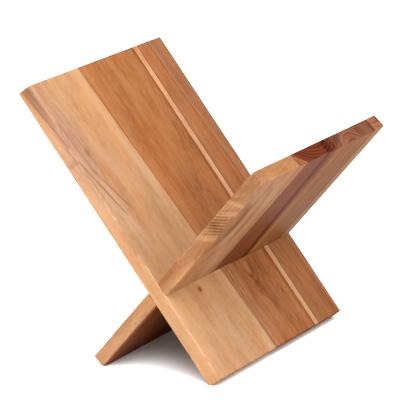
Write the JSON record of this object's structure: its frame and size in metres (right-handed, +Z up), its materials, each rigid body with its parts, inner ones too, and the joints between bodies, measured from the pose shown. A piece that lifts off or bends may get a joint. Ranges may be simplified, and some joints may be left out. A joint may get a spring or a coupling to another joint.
{
  "type": "magazine rack",
  "caption": "X-shaped wooden magazine rack: a tall leaning back panel and a shorter front panel, edge-glued from staves and slotted together to hold magazines in a V.",
  "frame": {"origin": "on the floor, at the middle of the rack's overall box", "axes": "+Z up; +X from the tall back panel's top towards the short front panel's top; +Y along the depth, from the side where the front panel is slotted to the side where the back panel is slotted"},
  "size_m": [0.3228, 0.3, 0.3231],
  "materials": {
    "tan_wood": "oiled satin",
    "brown_wood": "oiled satin",
    "amber_wood": "oiled satin",
    "red_brown_wood": "oiled satin",
    "umber_wood": "oiled satin"
  },
  "bodies": {
    "back_panel": {"back_stave_1": "tan_wood", "back_stave_2": "brown_wood", "back_stave_3_upper": "brown_wood", "back_stave_3_lower": "brown_wood", "back_stave_4_upper": "amber_wood", "back_stave_4_lower": "amber_wood"},
    "front_panel": {"front_stave_1_upper": "amber_wood", "front_stave_1_lower": "amber_wood", "front_stave_2": "red_brown_wood", "front_stave_3": "umber_wood", "front_stave_4": "amber_wood"}
  },
  "joints": [
    {"name": "front_panel_slide", "type": "slide", "parent": "back_panel", "child": "front_panel", "axis": [0, 1, 0], "range_m": [0, 0.31]}
  ]
}
